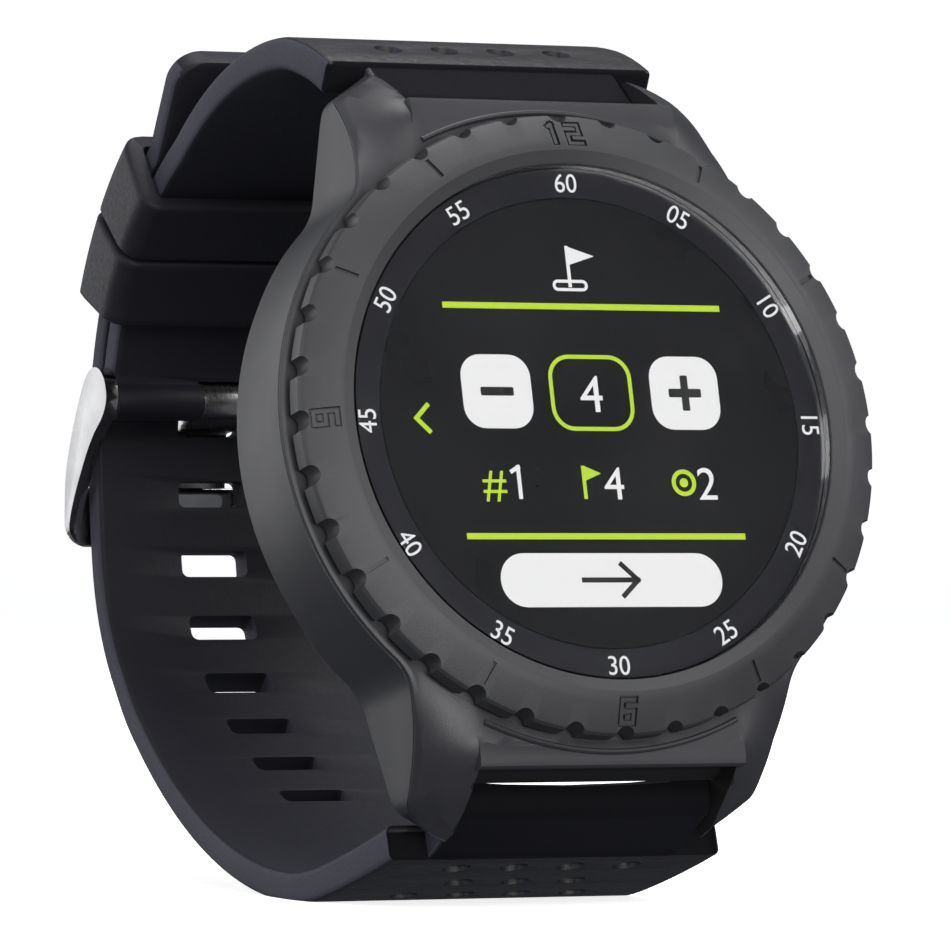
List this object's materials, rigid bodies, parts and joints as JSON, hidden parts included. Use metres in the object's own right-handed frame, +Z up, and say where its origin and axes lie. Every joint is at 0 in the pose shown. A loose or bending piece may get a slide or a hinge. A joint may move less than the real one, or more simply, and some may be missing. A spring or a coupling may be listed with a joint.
{
  "type": "golf gps watch",
  "caption": "Round golf GPS watch with a notched bezel, lug-mounted silicone band, tang buckle and keepers, standing on its closed band.",
  "frame": {"origin": "bottom centre of the watch's bounding box, with the watch standing on its closed band", "axes": "+X towards 3 o'clock, +Z up, the dial faces -Y and leans back 14.3 degrees, +Y towards the buckle"},
  "size_m": [0.051, 0.0802, 0.068],
  "materials": {
    "case": "fine matte moulded, dark blue-grey",
    "bezel": "fine matte moulded, dark grey",
    "band": "matte silicone, near black with a blue cast",
    "buckle_steel": "brushed faces with polished edges",
    "bar_steel": "turned, bright",
    "spring_steel": "drawn wire",
    "screw_steel": "bright zinc",
    "tin": "tinned sheet",
    "glass": "polished, clear",
    "dial_print": "gloss black print",
    "display": "gloss black panel, lit figures",
    "inner_plastic": "moulded, black",
    "flex": "copper polyimide ribbon",
    "board": "green solder mask",
    "antenna": "plated carrier",
    "battery_foil": "crimped foil pouch",
    "pad": "foam",
    "lead": "insulated wire",
    "contact_gold": "gold plated",
    "seal": "matte"
  },
  "bodies": {
    "watch": {"case_body": "case", "bezel_ring": "bezel", "bezel_gasket": "seal", "cover_glass": "glass", "minute_ring": "dial_print", "display_panel": "display", "display_frame": "inner_plastic", "display_flex": "flex", "main_board": "board", "shield_cans": "tin", "gps_antenna": "antenna", "board_screws": "screw_steel", "battery": "battery_foil", "battery_pad": "pad", "battery_lead": "lead", "vibration_motor": "tin", "charge_board": "board", "charge_contacts": "contact_gold", "back_cover": "case", "back_gasket": "seal", "back_screws": "screw_steel", "button_seal": "seal", "button_spring": "spring_steel", "side_switch": "inner_plastic", "strap_upper": "band", "strap_lower": "band", "upper_bar_tube": "bar_steel", "upper_bar_spring": "spring_steel", "lower_bar_tube": "bar_steel", "lower_bar_spring": "spring_steel", "buckle_bar_tube": "bar_steel", "buckle_bar_spring": "spring_steel", "keeper_fixed": "band"},
    "button": {"button_cap": "case", "button_clip": "screw_steel"},
    "buckle": {"buckle_frame": "buckle_steel"},
    "prong": {"buckle_prong": "buckle_steel"},
    "keeper": {"keeper_loose": "band"},
    "upper_bar_left_end": {"upper_pin_left": "bar_steel"},
    "upper_bar_right_end": {"upper_pin_right": "bar_steel"},
    "lower_bar_left_end": {"lower_pin_left": "bar_steel"},
    "lower_bar_right_end": {"lower_pin_right": "bar_steel"},
    "buckle_bar_left_end": {"buckle_pin_left": "bar_steel"},
    "buckle_bar_right_end": {"buckle_pin_right": "bar_steel"}
  },
  "joints": [
    {"name": "button_press", "type": "slide", "parent": "watch", "child": "button", "axis": [-1, 0, 0], "range_m": [0, 0.0006], "stiffness_N_per_m": 2500, "springref_m": -0.0004},
    {"name": "buckle_hinge", "type": "hinge", "parent": "watch", "child": "buckle", "pos_m": [-0.00055, 0.03382, 0.03928], "axis": [1, 0, 0], "range_deg": [0, 3]},
    {"name": "prong_hinge", "type": "hinge", "parent": "buckle", "child": "prong", "pos_m": [-0.00055, 0.03382, 0.03928], "axis": [1, 0, 0], "range_deg": [0, 3]},
    {"name": "keeper_slide", "type": "hinge", "parent": "watch", "child": "keeper", "pos_m": [-0.00055, 0.00817, 0.03568], "axis": [1, 0, 0], "range_deg": [-0.5, 1.5]},
    {"name": "upper_left_pin_slide", "type": "slide", "parent": "watch", "child": "upper_bar_left_end", "axis": [1, 0, 0], "range_m": [0, 0.0013], "stiffness_N_per_m": 1500, "springref_m": -0.0004},
    {"name": "upper_right_pin_slide", "type": "slide", "parent": "watch", "child": "upper_bar_right_end", "axis": [-1, 0, 0], "range_m": [0, 0.0013], "stiffness_N_per_m": 1500, "springref_m": -0.0004},
    {"name": "lower_left_pin_slide", "type": "slide", "parent": "watch", "child": "lower_bar_left_end", "axis": [1, 0, 0], "range_m": [0, 0.0013], "stiffness_N_per_m": 1500, "springref_m": -0.0004},
    {"name": "lower_right_pin_slide", "type": "slide", "parent": "watch", "child": "lower_bar_right_end", "axis": [-1, 0, 0], "range_m": [0, 0.0013], "stiffness_N_per_m": 1500, "springref_m": -0.0004},
    {"name": "buckle_left_pin_slide", "type": "slide", "parent": "watch", "child": "buckle_bar_left_end", "axis": [1, 0, 0], "range_m": [0, 0.001], "stiffness_N_per_m": 1500, "springref_m": -0.0004},
    {"name": "buckle_right_pin_slide", "type": "slide", "parent": "watch", "child": "buckle_bar_right_end", "axis": [-1, 0, 0], "range_m": [0, 0.001], "stiffness_N_per_m": 1500, "springref_m": -0.0004}
  ]
}
